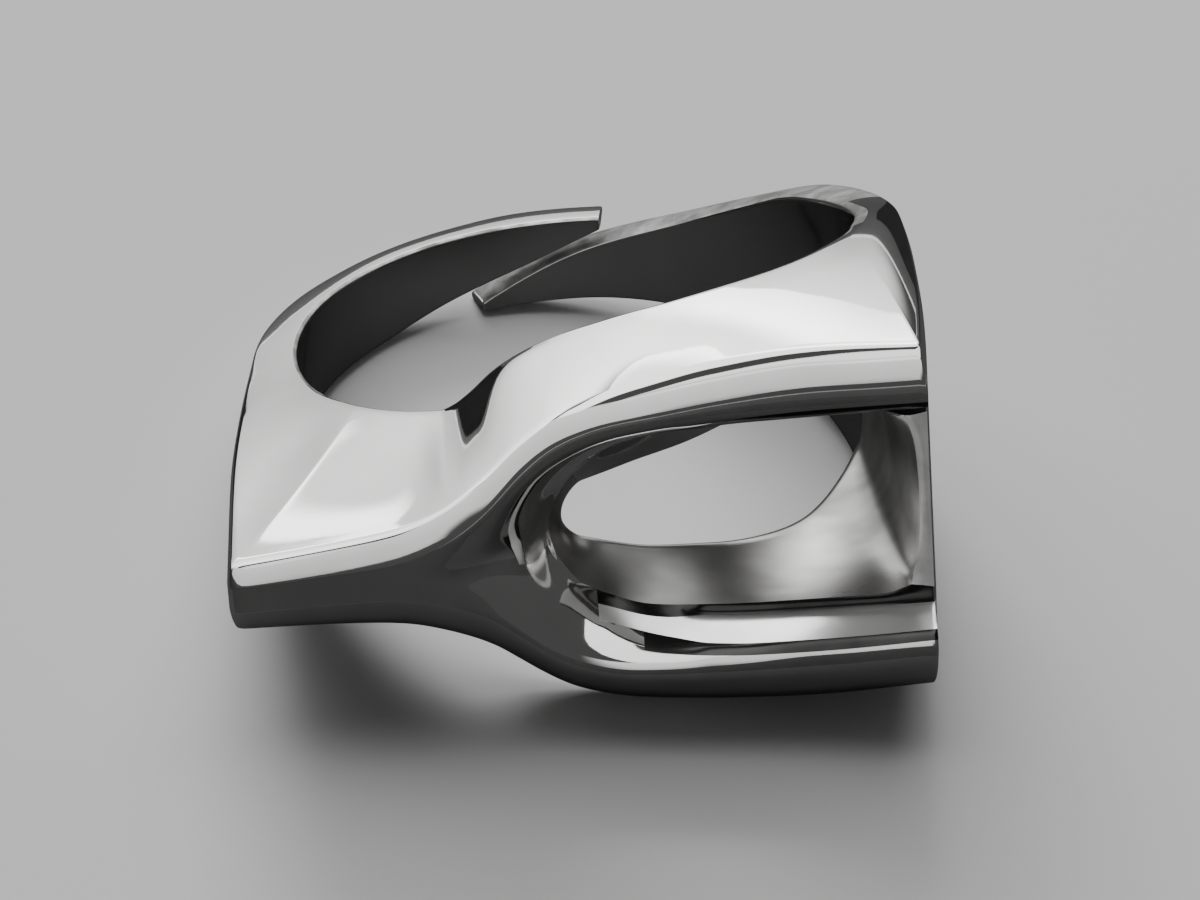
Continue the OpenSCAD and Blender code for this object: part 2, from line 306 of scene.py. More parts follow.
@dataclass
class RingBand:
    """The casting: trunk, two bars, window, right wall and shank, in millimetres."""

    hole_r: float = 9.0
    left_tip: float = -186.0
    right_tip: float = 200.0
    left_corner: float = -39.0
    right_corner: float = 43.0
    side_bulge: float = 0.18
    window_left: float = -0.4
    window_round: float = 0.94
    window_bow: float = 0.2
    window_right: tuple[float, float] = (9.9, 10.2)
    window_inset: float = 0.85
    notch: float = -18.6
    scoop_depth: float = 0.3
    scoop_wall: float = 10.0
    lean: float = 12.98
    roll: float = 9.31
    rest: Point = (-0.17, 1.75, 4.01)
    half: int = 15
    edge_row: int = 12
    hole_rows: int = 12
    hole_edge: int = 3
    scoops: int = 3
    window_from: float = -1.93
    levels: int = 2
    free_rows: Row = (0.85, 0.71, 0.57, 0.43, 0.29, 0.14, 0.0)
    open_rows: Row = (0.78, 0.6, 0.56, 0.52, 0.35, 0.17, 0.0)
    near_rows: Row = (0.14, 0.66, 0.84, 0.956, 1.0, 1.0, 1.0)
    lift_rows: Row = (0.5, 1.0, 0.5, 0.15)
    front: Curve = field(default_factory=lambda: Curve((
        (-39, 13.43, 1.1, 0.3, 0.8), (-31.4, 13.1, 1.3, 0.32, 0.85),
        (-24.4, 12.87, 1.56, 0.34, 0.9), (-19.1, 12.63, 2.08, 0.36, 0.95),
        (-14.4, 12.27, 2.82, 0.4, 1.0), (-9.8, 12.0, 3.75, 0.45, 1.05),
        (-3.5, 11.87, 4.66, 0.5, 1.1), (2.8, 11.77, 5.1, 0.55, 1.15),
        (9.3, 11.62, 5.38, 0.6, 1.2), (18.8, 11.33, 5.72, 0.68, 1.2),
        (32.7, 11.08, 5.96, 0.7, 1.2), (43, 11.05, 5.84, 0.6, 1.2))))
    left: Curve = field(default_factory=lambda: Curve((
        (-90, 10.42, 1.35), (-70, 10.72, 1.42), (-55, 10.9, 1.32), (-39, 10.88, 1.1))))
    right: Curve = field(default_factory=lambda: Curve((
        (43, 10.3, 5.84), (50, 10.45, 5.8), (60, 10.55, 5.6), (75, 10.56, 5.25),
        (90, 10.48, 4.9))))
    back: Curve = field(default_factory=lambda: Curve((
        (-186, 10.25, 1.35, 1.12), (-171, 10.25, 1.35, 0.1), (-155, 10.05, 1.35, -0.6),
        (-131, 9.97, 1.35, -1.3), (-115, 10.15, 1.35, -1.35), (-90, 10.42, 1.35, -1.35),
        (90, 10.48, 4.9, -4.9), (100, 10.42, 4.65, -4.65), (123, 10.12, 3.75, -3.7),
        (143, 10.05, 2.35, -2.3), (158, 10.05, 1.37, -1.6), (180, 10.05, 0.25, -1.4),
        (200, 10.05, -1.12, -1.4))))
    turns: Curve = field(default_factory=lambda: Curve((
        (-90, -90), (-60, -65), (-39, -50), (-24.4, -35), (-18.2, -27.4), (-14.4, -20.5),
        (-9.8, -13.4), (-3.5, -4.6), (2.8, 3.7), (9.3, 12.2), (18.8, 25), (26.4, 36),
        (32.7, 46.5), (38, 56), (43, 66), (60, 75), (75, 83), (90, 90))))
    rim: Curve = field(default_factory=lambda: Curve((
        (-104, 1.54, 0.12, 0.05), (-90, 1.6, 0.12, 0.06), (-74, 1.78, 0.12, 0.07),
        (-50, 2.4, 0.12, 0.07), (-30, 3.06, 0.12, 0.07), (-27.4, 3.2, 0.12, 0.05),
        (-22, 3.9, 0.12, 0.04), (-17.7, 4.62, 0.12, 0.04), (-13.5, 5.15, 0.12, 0.04),
        (-6.8, 5.74, 0.12, 0.05), (0, 6.13, 0.14, 0.05), (13, 6.53, 0.16, 0.06),
        (27, 6.66, 0.2, 0.1), (54, 6.36, 0.34, 0.2), (80, 5.58, 0.45, 0.22),
        (90, 5.15, 0.42, 0.18), (98, 4.75, 0.3, 0.12), (127, 3.45, 0.08, 0.03))))
    top: Curve = field(default_factory=lambda: Curve((
        (-186, 0.3, 0, 0.04), (-80, 0.3, 0, 0.03), (-60, 0.3, 0, -0.06), (-45, 0.3, 0, -0.26),
        (-30, 0.3, 0, -0.3), (-22, 0.4, 0, -0.22), (-18.85, 0.62, 0.1, -0.12),
        (-18.2, 0.66, -0.03, -0.05), (-14.4, 0.38, 0.07, 0), (-12.2, 0.23, 0.24, 0),
        (-9.3, 0.12, 0.2, 0.05), (-5.1, 0.1, 0.08, 0.08), (0, 0.2, 0, 0.12),
        (26, 0.3, 0, 0.16), (50, 0.3, 0, 0.28), (75, 0.3, 0, 0.22), (110, 0.3, 0, 0.04),
        (200, 0.3, 0, 0.03))))
    lip: Curve = field(default_factory=lambda: Curve((
        (-0.4, 2.2, 10.7, 2.05, 1.92), (0.8, 2.98, 11.16, 2.92, 2.68),
        (1.7, 3.35, 11.39, 3.3, 2.98), (3.1, 3.65, 11.49, 3.44, 3.1),
        (5, 3.8, 11.5, 3.55, 3.18), (9, 3.83, 11.4, 3.57, 3.18),
        (10.6, 3.81, 11.3, 3.55, 3))))
    valley: Curve = field(default_factory=lambda: Curve((
        (-5, 0), (-4.2, 0.05), (-3.4, 0.18), (-2.8, 0.38), (-2.2, 0.72), (-1.7, 1.15),
        (-1.34, 1.6), (-0.4, 2.5))))
    inner: Curve = field(default_factory=lambda: Curve((
        (-0.4, -3, 0.85), (0.8, 5, 1.2), (1.7, 10, 1.42), (3.1, 20, 1.7), (5, 33, 2.12),
        (7, 48, 2.37), (9, 66, 1.85), (10.05, 78, 1.6))))

    def angles(self) -> list[float]:
        """The sections' angles round the hole, from one end of the shank to the other.

        Returns:
            Degrees, 0 at the front and 90 at the right.
        """
        lc, rc = self.left_corner, self.right_corner
        spans: list[tuple[float, float, float]] = [
            (-181, -91, 4.5), (-87, -47, 5), (-36, -22, 2), (-17, -3.2, 1.25),
            (0.4, 40.01, 2.2), (46, 90, 4), (95, 190, 5)]
        found = [self.left_tip, self.left_tip + 1.5, -43.5, lc - 2, lc - 0.8, lc, lc + 1,
                 -20.3, -19.3, self.notch, self.window_from, rc - self.window_inset, rc, rc + 0.7,
                 194, 198, self.right_tip]
        for low, high, step in spans:
            count = int((high - low) / step + 1e-6)
            found += [low + step * k for k in range(count + 1)]
        return sorted(found)

    def in_front(self, a: float) -> bool:
        """Whether a section cuts the front face."""
        return self.left_corner <= a <= self.right_corner

    def edge(self, a: float) -> tuple[float, float, float, float]:
        """The outer edge of a section: across, forward, upper height and lower height.

        Args:
            a: The section's angle.

        Returns:
            Four sizes in millimetres.
        """
        r = math.radians(a)
        if self.in_front(a):
            d, z = self.front.at(1, a), self.front.at(2, a)
            return d * math.tan(r), d, z, -z
        if -90 < a < self.left_corner:
            x, z = self.left.at(1, a), self.left.at(2, a)
            return -x, -x / math.tan(r), z, -z
        if self.right_corner < a < 90:
            x, z = self.right.at(1, a), self.right.at(2, a)
            return x, x / math.tan(r), z, -z
        d = self.back.at(1, a)
        return d * math.sin(r), d * math.cos(r), self.back.at(2, a), self.back.at(3, a)

    def rim_heights(self, t: float) -> tuple[float, float]:
        """Upper and lower height of the hole's rim at an angle round the hole.

        Args:
            t: The angle round the hole.

        Returns:
            Two heights in millimetres.
        """
        if t < -104:
            _, _, up, low = self.edge(t)
            return (up + 0.08 + 0.11 * ease((t + 140) / 36),
                    low - 0.05 - 0.14 * ease((t + 131) / 27))
        if t > 127:
            _, _, up, low = self.edge(t)
            return up - 0.03, low
        return self.rim.at(1, t), -self.rim.at(1, t)

    def outward(self, a: float) -> tuple[float, float]:
        """How far a section's outer face stands out from its edge, across and forward.

        Args:
            a: The section's angle.

        Returns:
            Two sizes in millimetres.
        """
        r, b = math.radians(a), self.side_bulge
        if abs(a) >= 90:
            return b * 0.7 * math.sin(r), b * 0.7 * math.cos(r)
        across = -b if a <= self.left_corner else b if a >= self.right_corner else 0.0
        return across, self.front.at(3, a) if self.in_front(a) else 0.0

    def rounding(self, a: float) -> float:
        """Height of the rounding below a section's edge."""
        if self.in_front(a):
            return self.front.at(4, a)
        return mix(1.2, 0.9, (a - 43) / 47) if self.right_corner < a < 90 else 0.8

    def turn(self, a: float) -> float:
        """Angle round the hole at which a section meets it."""
        return self.turns.at(1, a) if abs(a) < 90 else a

    def windowed(self, a: float, x: float) -> float:
        """How much of the window's own row heights holds in a section."""
        if self.in_front(a):
            return ease((x + 4) / (4 + self.window_left))
        return 1 - ease((a - self.right_corner) / 30) if self.right_corner < a < 90 else 0.0

    def row_share(self, a: float, x: float, h8: float, j: int) -> float:
        """Share of the height of row 8 at which a lower row lies.

        Args:
            a: The section's angle.
            x: How far across the section's edge is.
            h8: Height of row 8.
            j: The row, from 9 to 15.

        Returns:
            A share from 0 to 1.
        """
        free = self.free_rows[j - 9]
        if x < self.window_left:
            cut = self.open_rows[j - 9]
        elif j == 9:
            cut = mix(self.lip.at(1, x) / h8, 1, 0.26)
        elif j <= 12:
            cut = self.lip.at({10: 1, 11: 3, 12: 4}[j], x) / h8
        else:
            cut = self.lip.at(4, x) / h8 * (15 - j) / 3
        return mix(free, cut, self.windowed(a, x))

    def set_back(self, a: float, x: float, j: int, share: float) -> float:
        """How far a row stands back from the front face.

        Args:
            a: The section's angle.
            x: How far across the section's edge is.
            j: The row, from 9 to 15.
            share: The row's share of the height of row 8.

        Returns:
            A size in millimetres.
        """
        if not self.in_front(a):
            return 0.0
        if x < self.window_left:
            near = self.near_rows[j - 9]
            return self.valley.at(1, x) * mix(1 - ease(share), near, self.windowed(a, x))
        face = self.front.at(1, a) + self.outward(a)[1]
        lip = face - self.lip.at(2, x)
        if j == 9:
            return 0.4 * lip
        if j == 10:
            return lip
        return mix(lip + 0.3, face - self.scoop_wall, ease((x + 0.8) / 1.5))

    def round_end(self, x: float, z: float, z12: float) -> float:
        """Bow of the window's two ends at a height.

        Args:
            x: How far across the section's edge is.
            z: The row's height.
            z12: Height of the scoop's edge in that section.

        Returns:
            A shift across, in millimetres.
        """
        k = 1 - (z / z12) ** 2
        if x > self.window_left + 0.02:
            low, high = self.window_right
            return self.window_bow * k if low < x < high else 0.0
        return -self.window_round * k * math.exp((x - self.window_left) / 1.5)

    def half_point(self, a: float, s: int, j: int) -> Point:
        """A point of a section's upper or lower half.

        Args:
            a: The section's angle.
            s: 1 for the upper half and -1 for the lower half.
            j: The row, from 0 at the hole to 15 at the middle of the outer face.

        Returns:
            Across, forward and up, in millimetres.
        """
        t = self.turn(a)
        r = math.radians(t)
        x, d, zt, zb = self.edge(a)
        heights = self.rim_heights(t)
        zr = heights[0] if s > 0 else heights[1]
        out, up = self.rim.at(2, t), self.rim.at(3, t)
        rim = (math.sin(r) * (self.hole_r + out), math.cos(r) * (self.hole_r + out), zr + s * up)
        corner = (x, d, zt if s > 0 else zb)
        if j == 0:
            return math.sin(r) * self.hole_r, math.cos(r) * self.hole_r, zr
        if j == 1:
            return rim
        if j < 6:
            crest, lift, dish = (self.top.at(k, a) for k in (1, 2, 3))
            f = (0.5 * crest, crest, mix(crest, 1, 0.35), mix(crest, 1, 0.7))[j - 2]
            w = self.lift_rows[j - 2]
            p = [mix(rim[k], corner[k], f) for k in range(3)]
            return p[0], p[1], p[2] + s * (lift * w + dish * 4 * f * (1 - f))
        if j == 6:
            return corner
        ox, od = self.outward(a)
        mid, h = (zt + zb) / 2, (zt - zb) / 2
        h7 = h - min(0.28 * self.rounding(a), 0.18 * h)
        h8 = h - min(self.rounding(a), 0.6 * h)
        if j == 7:
            return x + 0.6 * ox, d + 0.6 * od, mid + s * h7
        if j == 8:
            return x + ox, d + od, mid + s * h8
        f = self.row_share(a, x, h8, j)
        z12 = self.row_share(a, x, h8, 12) * h8
        bow = self.round_end(x, f * h8, z12) if self.in_front(a) and j > 12 else 0.0
        forward = d + od - self.set_back(a, x, j, f)
        if self.right_corner <= a < 90 and j >= 11:
            forward = min(self.scoop_wall, d + od)
        return x + ox + bow, forward, mid + s * f * h8

    def outer_point(self, a: float, j: int) -> Point:
        """A point of a section's outside, row 0 to 30."""
        if j <= self.half:
            return self.half_point(a, 1, j)
        return self.half_point(a, -1, 2 * self.half - j)

    def inner_turn(self, a: float, x: float, f: float) -> float:
        """Angle round the hole of the hole's middle rows, which follow the scoop.

        Args:
            a: The section's angle.
            x: How far across the section's edge is.
            f: 0 at the scoop's edge and 1 at the middle of the window's end.

        Returns:
            Degrees round the hole.
        """
        if self.in_front(a):
            if x < self.window_left + 0.05:
                w = max(0.0, self.window_left - x)
                shift = self.inner.at(1, self.window_left) - self.turn(self.window_from)
                return self.turn(a) + shift * math.exp(-w / 2) - 3.2 * f * math.exp(-w / 1.5)
            more = 4.5 * f if x > self.window_right[0] else 0.0
            return self.inner.at(1, x) + more + (1.0 if a >= self.right_corner else 0.0)
        if self.right_corner < a < 90:
            return mix(84, 96, (a - self.right_corner) / 47)
        return mix(96, 130, (a - 90) / 40) if 90 <= a < 130 else a

    def hole_point(self, a: float, m: int) -> Point:
        """A point of a section on the hole's wall, row 0 to 12.

        Args:
            a: The section's angle.
            m: The row, from the upper rim to the lower one.

        Returns:
            Across, forward and up, in millimetres.
        """
        top, low = self.rim_heights(self.turn(a))
        mid, h = (top + low) / 2, (top - low) / 2
        x = self.edge(a)[0]
        k, s = (m, 1) if m <= 6 else (12 - m, -1)
        w = 0.0
        if self.in_front(a):
            w = ease((x + 5) / (5 + self.window_left))
        elif self.right_corner < a < 90:
            w = 1 - ease((a - 43) / 40)
        z3 = mix(0.5 * h, self.inner.at(2, x), w)
        z = mix(h, z3, k / 3) if k <= 3 else z3 * (6 - k) / 3
        f = 0.0 if k < 3 else 1 - ((6 - k) / 3) ** 2
        t = math.radians(mix(self.turn(a), self.inner_turn(a, x, f), clamp(k / 3)))
        return math.sin(t) * self.hole_r, math.cos(t) * self.hole_r, mid + s * z

    def placed(self, p: Point) -> Vector:
        """Takes a point of the upright ring to the resting ring, in metres.

        Args:
            p: Across, forward and up, in millimetres.

        Returns:
            The point in the scene.
        """
        turned = (Matrix.Rotation(-math.radians(self.lean), 3, "X")
                  @ Matrix.Rotation(-math.radians(self.roll), 3, "Y")
                  @ Vector((p[0], -p[1], p[2])))
        return (turned + Vector(self.rest)) * MM


@dataclass
class Casting:
    """Models the ring band as a coarse cage of its sections and smooths that cage."""

    shape: RingBand = field(default_factory=RingBand)
    # Bore and satin carry painted shade, the worn strip a painted sheen, the dark bands a painted
    # dark reflection and the ledge a painted highlight.
    finishes_and_painted_light: tuple[Silver, ...] = (POLISHED, CUT, BORE, SATIN, WORN, RECESS, LEDGE)
    cut_from: float = 100.0
    worn_from: float = -58.0
    strip_span: tuple[float, float] = (-0.9, 0.5)
    # From which angle the bands of rows 9 and 10 get the painted dark reflection.
    dark_reflection_from: float = 7.0
    ledge_past: float = 4.0
    crisp: float = 0.9
    firm: float = 0.75
    rounded: float = 0.6
    gentle: float = 0.5
    faint: float = 0.35
    marked_above: float = 0.8
    even_reach: float = 5.0
    corner_round: float = 0.22
    funnel_reach: tuple[float, ...] = (15.0, 13.0, 11.0, 9.0, 7.0, 5.0, 3.5, 2.0, 0.8)

    def __post_init__(self) -> None:
        """Sets out the sections and where the window starts and stops."""
        self.angles = self.shape.angles()
        self.last = len(self.angles) - 1
        self.first_win = self._nearest(self.shape.window_from)
        self.last_win = self._nearest(self.shape.right_corner - self.shape.window_inset)
        self.around = 2 * self.shape.half + self.shape.hole_rows

    def _spots(self, element: bmesh.types.BMEdge | bmesh.types.BMFace,
               place: bmesh.types.BMLayerItem) -> list[tuple[int, int, int]]:
        """Where the corners of an edge or a face lie.

        Args:
            element: The edge or face.
            place: The layer that numbers the vertices.

        Returns:
            For each corner its step on the scoop (0 elsewhere), its section and its row.
        """
        return [spot(v[place]) for v in element.verts]

    def _nearest(self, a: float) -> int:
        """Number of the section at an angle."""
        return min(range(len(self.angles)), key=lambda i: abs(self.angles[i] - a))

    def _point(self, i: int, j: int) -> Point:
        """A point of the cage.

        Args:
            i: The section.
            j: The row: 0 to 30 on the outside, and on round the hole's wall to 41.

        Returns:
            Across, forward and up, in millimetres.
        """
        a = self.angles[i]
        if j > 2 * self.shape.half:
            return self.shape.hole_point(a, self.around - j)
        if i == self.last_win and j in (self.shape.edge_row, self.shape.edge_row + 6):
            p = self.shape.outer_point(a, j)
            return p[0] - self.corner_round, p[1], p[2] * (1 - self.corner_round / abs(p[2]))
        reach = self.even_reach * ease(1 - abs(a - self.shape.window_from) / 10)
        if not 8 <= min(j, 2 * self.shape.half - j) <= 11 or reach == 0:
            return self.shape.outer_point(a, j)
        near = [self.shape.outer_point(a + reach * k / 3, j) for k in range(-3, 4)]
        return (math.fsum(p[0] for p in near) / 7, math.fsum(p[1] for p in near) / 7,
                math.fsum(p[2] for p in near) / 7)

    def _scoop(self, i: int, k: int, t: int) -> Point:
        """A point of the scoop's wall.

        Args:
            i: The section.
            k: The row of the window's edge, 0 at its upper side and 6 at its lower side.
            t: The step from the front face to the hole.

        Returns:
            Across, forward and up, in millimetres.
        """
        shape = self.shape
        p = shape.outer_point(self.angles[i], shape.edge_row + k)
        q = shape.hole_point(self.angles[i], shape.hole_edge + k)
        f = t / (shape.scoops + 1)
        hollow = 4 * f * (1 - f)
        return (mix(p[0], q[0], f) + (0.1 * hollow if i == self.last_win else 0.0),
                mix(p[1], q[1], f),
                mix(p[2], q[2], f) + shape.scoop_depth * (1 - k / 3) * hollow)

    def build(self) -> bpy.types.Object:
        """Models the casting.

        Returns:
            The finished piece.
        """
        obj = self._tube()
        self._open_window(obj)
        self._close_ends(obj)
        for reach in self.funnel_reach:
            self._soften(obj, partial(self._on_funnel, reach), 1)
        self._soften(obj, self._on_scoop, 40)
        self._crease(obj)
        self._finish_and_paint_faces(obj)
        self._smooth(obj)
        return obj

    def _tube(self) -> bpy.types.Object:
        """Wraps a grid round the sections into a tube.

        Returns:
            The tube, open at both ends of the shank.
        """
        bpy.ops.mesh.primitive_grid_add(x_subdivisions=self.last, y_subdivisions=self.around)
        obj = bpy.context.object
        obj.name = "ring_casting"
        bpy.ops.object.mode_set(mode="EDIT")
        bm = bmesh.from_edit_mesh(obj.data)
        place = bm.verts.layers.int.new("place")
        for v in bm.verts:
            i = round((v.co.x + 1) / 2 * self.last)
            j = round((v.co.y + 1) / 2 * self.around) % self.around
            v[place] = spot_code(0, i, j)
            v.co = self.shape.placed(self._point(i, j))
        bpy.ops.mesh.select_all(action="SELECT")
        bpy.ops.mesh.remove_doubles(threshold=1e-7)
        bpy.ops.object.mode_set(mode="OBJECT")
        return obj

    def _edit(self, obj: bpy.types.Object, mode: str) -> bmesh.types.BMesh:
        """Opens the piece for editing with nothing selected.

        Args:
            obj: The piece.
            mode: Which elements are selected: VERT, EDGE or FACE.

        Returns:
            The mesh being edited.
        """
        bpy.ops.object.select_all(action="DESELECT")
        obj.select_set(True)
        bpy.context.view_layer.objects.active = obj
        bpy.ops.object.mode_set(mode="EDIT")
        bpy.ops.mesh.select_mode(type=mode)
        bpy.ops.mesh.select_all(action="DESELECT")
        return bmesh.from_edit_mesh(obj.data)

    def _open_window(self, obj: bpy.types.Object) -> None:
        """Cuts the window out and draws its scooped wall in to the hole.

        Args:
            obj: The piece.
        """
        shape = self.shape
        low, high = shape.edge_row, shape.edge_row + 6
        inner_low = self.around - shape.hole_edge - 6
        bm = self._edit(obj, "FACE")
        place = bm.verts.layers.int["place"]
        for face in bm.faces:
            spots = self._spots(face, place)
            if not all(self.first_win <= i <= self.last_win for _, i, _ in spots):
                continue
            rows = [j for _, _, j in spots]
            if all(low <= j <= high for j in rows) or all(
                    inner_low <= j <= inner_low + 6 for j in rows):
                face.select = True
        bpy.ops.mesh.delete(type="FACE")
        bpy.ops.object.mode_set(mode="OBJECT")
        bm = self._edit(obj, "EDGE")
        place = bm.verts.layers.int["place"]
        for edge in bm.edges:
            edge.select = edge.is_boundary and all(
                low <= j <= high and 0 < i < self.last
                for _, i, j in self._spots(edge, place))
        for t in range(1, shape.scoops + 2):
            bpy.ops.mesh.extrude_edges_indiv()
            bm = bmesh.from_edit_mesh(obj.data)
            place = bm.verts.layers.int["place"]
            for v in bm.verts:
                if v.select:
                    _, i, j = spot(v[place])
                    v.co = shape.placed(self._scoop(i, j - low, t))
                    v[place] = spot_code(t, i, j)
                    if t == shape.scoops + 1:
                        v[place] = spot_code(0, i, self.around - shape.hole_edge - (j - low))
        bpy.ops.mesh.select_all(action="SELECT")
        bpy.ops.mesh.remove_doubles(threshold=1e-7)
        bpy.ops.object.mode_set(mode="OBJECT")

    def _close_ends(self, obj: bpy.types.Object) -> None:
        """Closes the two ends of the shank with inset faces.

        Args:
            obj: The piece.
        """
        for end in (0, self.last):
            bm = self._edit(obj, "EDGE")
            place = bm.verts.layers.int["place"]
            for edge in bm.edges:
                edge.select = edge.is_boundary and all(
                    i == end for _, i, _ in self._spots(edge, place))
            bpy.ops.mesh.edge_face_add()
            bpy.ops.mesh.inset(thickness=0.06 * MM)
            bpy.ops.object.mode_set(mode="OBJECT")
        self._edit(obj, "FACE")
        bpy.ops.mesh.select_all(action="SELECT")
        bpy.ops.mesh.normals_make_consistent(inside=False)
        bpy.ops.object.mode_set(mode="OBJECT")

    def _on_funnel(self, reach: float, step: int, i: int, j: int) -> bool:
        """Whether a vertex lies on the funnel that leads from the trunk into the window.

        Args:
            reach: How far along the bars the funnel is taken to go, in degrees.
            step: The vertex's step on the scoop.
            i: Its section.
            j: Its row.

        Returns:
            True for a vertex of the funnel, but not for the window's own edge.
        """
        a, edge, start = self.angles[i], self.shape.edge_row, self.shape.window_from
        return (step == 0 and 9 <= j <= 21 and -9.0 - reach < a < reach
                and (a < start - 0.1 or not edge <= j <= edge + 6))

    def _on_scoop(self, step: int, i: int, j: int) -> bool:
        """Whether a vertex lies on the scoop."""
        return 0 < step <= self.shape.scoops

    def _soften(self, obj: bpy.types.Object, picked: Callable[[int, int, int], bool],
                repeat: int) -> None:
        """Evens out a part of the cage.

        Args:
            obj: The piece.
            picked: Says for a vertex's step, section and row whether it moves.
            repeat: How often it is evened out.
        """
        bm = self._edit(obj, "VERT")
        place = bm.verts.layers.int["place"]
        for v in bm.verts:
            v.select = picked(*spot(v[place]))
        bm.select_flush_mode()
        bmesh.update_edit_mesh(obj.data)
        bpy.ops.mesh.vertices_smooth(factor=0.5, repeat=repeat)
        bpy.ops.object.mode_set(mode="OBJECT")

    def _edge_crease(self, a: float, rows: tuple[int, int]) -> float:
        """How sharp an edge of the cage stays.

        Args:
            a: The section's angle.
            rows: The rows of the edge's two ends, the smaller one first.

        Returns:
            A crease from 0 to 1.
        """
        low, high = rows
        rim = self.around - self.shape.hole_edge
        if a >= self.shape.window_from and a < self.shape.right_corner and (
                low in (rim - 6, rim) and low == high):
            return self.gentle
        if low != high:
            return 0.0
        row = min(low, 2 * self.shape.half - low) if low <= 2 * self.shape.half else -1
        if row in (0, 1):
            return self.firm if abs(a) > 50 else self.rounded
        if row == 6:
            return self.firm if a < -10 else self.rounded
        if row in (10, 11, 12) and -1 < a < self.shape.right_corner + self.ledge_past:
            return self.crisp * ease((a + 1) / 5)
        return self.faint if row == 12 and self.shape.window_from <= a <= -1 else 0.0

    def _corner_crease(self, a: float, rows: tuple[int, int]) -> float:
        """How sharp an edge along a section stays: the bars' right ends and the notch.

        Args:
            a: The section's angle.
            rows: The rows of the edge's two ends, the smaller one first.

        Returns:
            A crease from 0 to 1.
        """
        low, high = rows
        last = 2 * self.shape.half
        if high > last:
            return 0.0
        if abs(a - self.shape.right_corner) < 0.01 and (low >= 4 and high <= last - 4):
            return self.gentle
        if abs(a - self.shape.notch) < 0.01 and (high <= 4 or low >= last - 4):
            return self.gentle
        return 0.0

    def _crease(self, obj: bpy.types.Object) -> None:
        """Keeps the casting's edges sharp: the ridges, the rims and the window's lip.

        Args:
            obj: The piece.
        """
        wanted: dict[float, list[int]] = {}
        bm = self._edit(obj, "EDGE")
        place = bm.verts.layers.int["place"]
        for edge in bm.edges:
            spots = self._spots(edge, place)
            rows = sorted(j for _, _, j in spots)
            if spots[0] == spots[1] or max(spots)[0] > 0:
                continue
            a = self.angles[spots[0][1]]
            value = self._edge_crease(a, (rows[0], rows[1]))
            if spots[0][1] == spots[1][1]:
                value = self._corner_crease(a, (rows[0], rows[1]))
            if value > 0:
                wanted.setdefault(value, []).append(edge.index)
        for value, edges in wanted.items():
            bpy.ops.mesh.select_all(action="DESELECT")
            bm = bmesh.from_edit_mesh(obj.data)
            bm.edges.ensure_lookup_table()
            for k in edges:
                bm.edges[k].select = True
            bpy.ops.transform.edge_crease(value=value)
            if value > self.marked_above:
                bpy.ops.mesh.mark_sharp()
        bpy.ops.object.mode_set(mode="OBJECT")

    def _surface(self, a: float, step: int, rows: list[int]) -> Surface:
        """Which finish, or which painted light, a face has.

        Args:
            a: The section's angle.
            step: Its furthest step on the scoop.
            rows: The rows of the face's corners.

        Returns:
            The finish, or the painted light.
        """
        last = 2 * self.shape.half
        if step > 0:
            above = min(rows) == self.shape.edge_row and self.shape.edge_row + 1 not in rows
            # Both scoop walls carry painted shade in their tone, the lower wall darker than the
            # upper.
            return Surface.BORE if above else Surface.SATIN
        edge, corner = self.shape.edge_row, self.shape.right_corner
        low, high = self.strip_span
        # The right wall's front strip: real wear with a painted sheen.
        if corner + low < a < corner + high and all(edge <= j <= edge + 6 for j in rows):
            return Surface.WORN
        half = sorted({min(j, last - j) for j in rows})
        # The bands beside the ledge get a painted dark reflection.
        if (half == [11, 12] and 0 < a < corner) or (
                half == [9, 10] and self.dark_reflection_from < a < corner):
            return Surface.RECESS
        # The ledge gets a painted highlight.
        if half == [10, 11] and 0 < a < corner + self.ledge_past:
            return Surface.LEDGE
        if a > self.cut_from and all(1 <= j <= 6 for j in rows):
            return Surface.CUT
        if max(rows) == 1 and (a < self.worn_from or a > 60):
            return Surface.CUT
        # The hole's wall gets the bore's darker tone, which is painted shade.
        if all(j >= last or j == 0 for j in rows):
            return Surface.BORE
        return Surface.POLISHED

    def _finish_and_paint_faces(self, obj: bpy.types.Object) -> None:
        """Gives each face its finish, or its painted light.

        Args:
            obj: The piece.
        """
        for finish in self.finishes_and_painted_light:
            obj.data.materials.append(finish.material())
        for surface in Surface:
            bm = self._edit(obj, "FACE")
            place = bm.verts.layers.int["place"]
            for face in bm.faces:
                spots = self._spots(face, place)
                a = self.angles[min(i for _, i, _ in spots)]
                rows = [j for _, _, j in spots]
                face.select = self._surface(a, max(spots)[0], rows) is surface
            obj.active_material_index = surface.value
            bpy.ops.object.material_slot_assign()
            bpy.ops.object.mode_set(mode="OBJECT")

    def _smooth(self, obj: bpy.types.Object) -> None:
        """Smooths the cage into the polished casting.

        Args:
            obj: The piece.
        """
        levels = self.shape.levels
        smooth = obj.modifiers.new("smooth", "SUBSURF")
        smooth.levels = levels
        smooth.render_levels = levels
        bpy.ops.object.modifier_apply(modifier="smooth")
        bpy.ops.object.shade_smooth()


